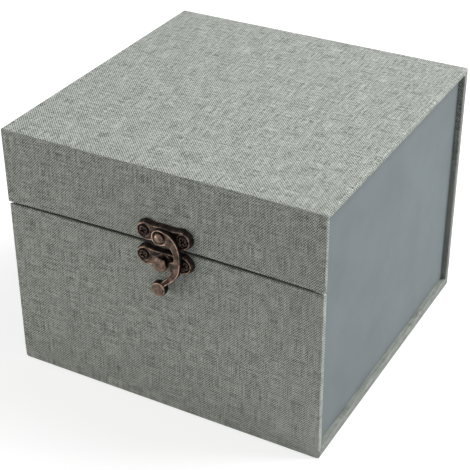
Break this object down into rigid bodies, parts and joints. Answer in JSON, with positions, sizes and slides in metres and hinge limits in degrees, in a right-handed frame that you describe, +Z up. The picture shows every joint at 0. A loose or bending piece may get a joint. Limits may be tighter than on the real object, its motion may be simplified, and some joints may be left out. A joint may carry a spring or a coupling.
{
  "type": "doll head storage box",
  "caption": "Rigid cloth-covered keepsake box with a padded round well for a doll's head, a hinged lid and a front flap held by a swinging hook.",
  "frame": {"origin": "middle of the underside of the wrap, halfway between its front and back faces", "axes": "+Z up, -Y towards the front with the clasp, +X to the right as seen from the front"},
  "size_m": [0.16, 0.167, 0.1253],
  "materials": {
    "linen": "matte",
    "board": "matte",
    "paper": "matte",
    "foam": "matte",
    "copper": "satin"
  },
  "bodies": {
    "base": {"bottom_board": "board", "bottom_cloth": "linen", "back_board": "board", "back_cloth": "linen", "front_board": "board", "front_cloth": "linen", "lid_hinge_cloth": "linen", "back_foot_cloth": "linen", "front_foot_cloth": "linen", "tray_left_wall": "board", "tray_right_wall": "board", "tray_front_wall": "board", "tray_back_wall": "board", "tray_floor": "board", "tray_paper": "paper", "tray_lining": "paper", "foam_floor_pad": "foam", "foam_nest": "foam", "stud_plate": "copper", "stud": "copper", "stud_plate_screw_left": "copper", "stud_plate_screw_right": "copper"},
    "lid": {"lid_board": "board", "lid_cloth": "linen", "lid_lining": "paper", "lid_pad": "foam"},
    "flap": {"flap_board": "board", "flap_cloth": "linen", "flap_lining": "paper", "flap_hinge_cloth": "linen", "hook_plate": "copper", "hook_rivet": "copper", "hook_plate_screw_left": "copper", "hook_plate_screw_right": "copper"},
    "hook": {"hook": "copper"}
  },
  "joints": [
    {"name": "lid_hinge", "type": "hinge", "parent": "base", "child": "lid", "pos_m": [0, 0.07965, 0.1253], "axis": [-1, 0, 0], "range_deg": [0, 230]},
    {"name": "flap_hinge", "type": "hinge", "parent": "lid", "child": "flap", "pos_m": [0, -0.07965, 0.1253], "axis": [-1, 0, 0], "range_deg": [0, 250]},
    {"name": "hook_swing", "type": "hinge", "parent": "flap", "child": "hook", "pos_m": [0.0046, -0.0838, 0.0954], "axis": [0, -1, 0], "range_deg": [0, 285]}
  ]
}
